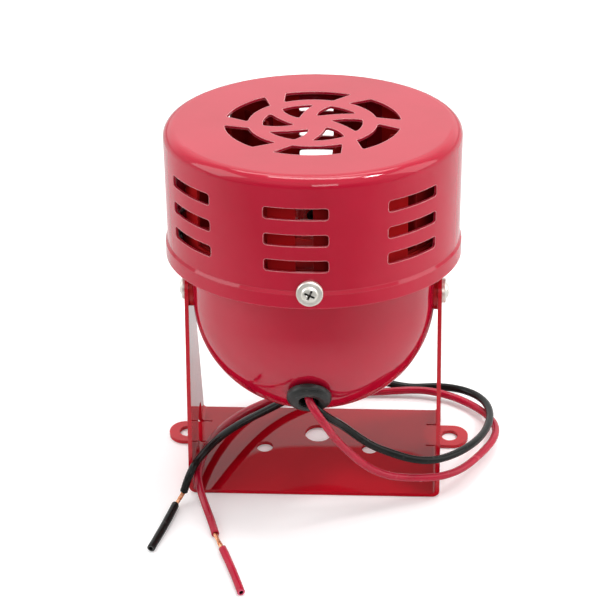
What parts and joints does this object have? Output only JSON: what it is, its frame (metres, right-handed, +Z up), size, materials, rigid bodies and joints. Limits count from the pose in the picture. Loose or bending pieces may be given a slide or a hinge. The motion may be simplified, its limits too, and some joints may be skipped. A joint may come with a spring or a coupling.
{
  "type": "alarm siren",
  "caption": "Motor-driven mechanical siren: slotted drum head with a swirl grille, tilting in a folded U bracket with mounting ears, fed by two flying leads.",
  "frame": {"origin": "midpoint between the two ear holes, on the underside of the bracket's base plate", "axes": "+X through the ears to the right seen from the front, +Y to the back, +Z up from the mounting surface"},
  "size_m": [0.096, 0.1104, 0.1123],
  "materials": {
    "red_paint": "gloss red enamel",
    "dark_red_paint": "gloss red enamel, in shade",
    "zinc": "bright zinc plate",
    "steel": "plain plated steel",
    "aluminium": "turned",
    "black_steel": "black oxide",
    "ferrite": "ground ferrite",
    "nylon": "moulded",
    "brass": "stamped",
    "graphite": "copper graphite",
    "bronze": "sintered",
    "core_steel": "stacked laminations",
    "copper": "bare copper",
    "rubber": "moulded black rubber",
    "red_pvc": "soft insulation",
    "black_pvc": "soft insulation"
  },
  "bodies": {
    "bracket": {"bracket": "red_paint", "red_lead": "red_pvc", "black_lead": "black_pvc", "red_strands": "copper", "black_strands": "copper", "red_slug": "red_pvc", "black_slug": "black_pvc"},
    "head": {"bowl": "red_paint", "top_cover": "red_paint", "cover_screws": "zinc", "pivot_screws": "zinc", "pivot_spacers": "zinc", "pivot_lock_washers": "zinc", "pivot_nuts": "zinc", "motor_plate": "steel", "stator_drum": "red_paint", "stator_rivets": "zinc", "motor_can": "steel", "motor_magnets": "ferrite", "motor_end_cap": "nylon", "motor_terminals": "brass", "brush_arms": "brass", "motor_brushes": "graphite", "front_bearing": "bronze", "rear_bearing": "bronze", "motor_screws": "zinc", "grommet": "rubber"},
    "rotor": {"rotor_drum": "dark_red_paint", "rotor_hub": "aluminium", "set_screw": "black_steel", "shaft": "steel", "thrust_washers": "nylon", "armature_core": "core_steel", "armature_windings": "copper", "commutator": "copper"}
  },
  "joints": [
    {"name": "head_tilt", "type": "hinge", "parent": "bracket", "child": "head", "pos_m": [0, -0.0072, 0.0572], "axis": [1, 0, 0], "range_deg": [-45, 60], "deforming": ["red_lead", "black_lead"]},
    {"name": "rotor_spin", "type": "hinge", "parent": "head", "child": "rotor", "pos_m": [0, -0.0072, 0.0572], "axis": [0, 0.1994, 0.9799], "continuous": true}
  ]
}
